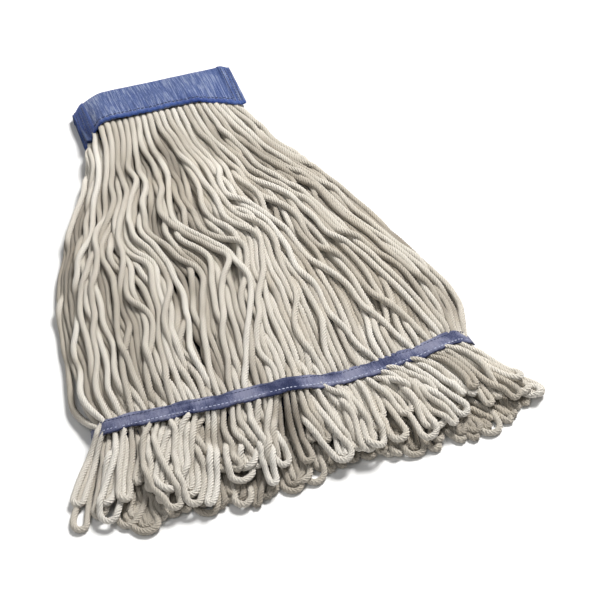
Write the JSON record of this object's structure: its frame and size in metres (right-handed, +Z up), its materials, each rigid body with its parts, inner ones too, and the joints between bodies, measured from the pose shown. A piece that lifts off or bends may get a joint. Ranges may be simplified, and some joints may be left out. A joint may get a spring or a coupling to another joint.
{
  "type": "string mop",
  "caption": "Looped-end cotton string mop head: a folded woven headband, two layered skirts of plied strands, sewn tail bands and a looped fringe.",
  "frame": {"origin": "on the surface the mop lies on, under the middle of its bounding box", "axes": "+Y along the strands towards the headband, +X to the right seen from the loops, +Z up"},
  "size_m": [0.3843, 0.48, 0.048],
  "materials": {
    "yarn": "matt plied cotton",
    "band_cloth": "coarse woven cloth with pale streaks",
    "band_hem": "folded woven cloth",
    "band_liner": "woven cloth",
    "tail_tape": "faded woven tape",
    "thread": "sewing thread"
  },
  "bodies": {
    "lower_half": {"lower_band_cloth": "band_cloth", "lower_side_hem_left": "band_hem", "lower_side_hem_right": "band_hem", "lower_edge_hem": "band_hem", "lower_band_liner": "band_liner", "lower_band_yarn": "yarn", "lower_band_stitching": "thread", "lower_strands_1": "yarn", "lower_strands_2": "yarn", "lower_strands_3": "yarn", "lower_strands_4": "yarn", "lower_strands_5": "yarn", "lower_strands_6": "yarn", "lower_tail_tape_outer": "tail_tape", "lower_tail_tape_inner": "tail_tape", "lower_tail_yarn": "yarn", "lower_tail_stitching": "thread", "lower_loops_1": "yarn", "lower_loops_2": "yarn", "lower_loops_3": "yarn", "lower_loops_4": "yarn", "lower_loops_5": "yarn", "lower_loops_6": "yarn", "stray_loop": "yarn"},
    "upper_band": {"upper_band_cloth": "band_cloth", "upper_side_hem_left": "band_hem", "upper_side_hem_right": "band_hem", "upper_edge_hem": "band_hem", "upper_band_liner": "band_liner", "upper_band_yarn": "yarn", "upper_band_stitching": "thread"},
    "upper_skirt": {"upper_strands_1": "yarn", "upper_strands_2": "yarn", "upper_strands_3": "yarn", "upper_strands_4": "yarn", "upper_strands_5": "yarn", "upper_strands_6": "yarn", "upper_tail_tape_outer": "tail_tape", "upper_tail_tape_inner": "tail_tape", "upper_tail_yarn": "yarn", "upper_tail_stitching": "thread"},
    "upper_fringe": {"upper_loops_1": "yarn", "upper_loops_2": "yarn", "upper_loops_3": "yarn", "upper_loops_4": "yarn", "upper_loops_5": "yarn", "upper_loops_6": "yarn"}
  },
  "joints": [
    {"name": "head_fold", "type": "hinge", "parent": "lower_half", "child": "upper_band", "pos_m": [0, 0.2403, 0.007], "axis": [-1, 0, 0], "range_deg": [0, 160]},
    {"name": "upper_skirt_flex", "type": "hinge", "parent": "upper_band", "child": "upper_skirt", "pos_m": [0, 0.1855, 0.032], "axis": [-1, 0, 0], "range_deg": [0, 60]},
    {"name": "upper_fringe_flex", "type": "hinge", "parent": "upper_skirt", "child": "upper_fringe", "pos_m": [0, -0.1525, 0.0315], "axis": [-1, 0, 0], "range_deg": [0, 45]}
  ]
}
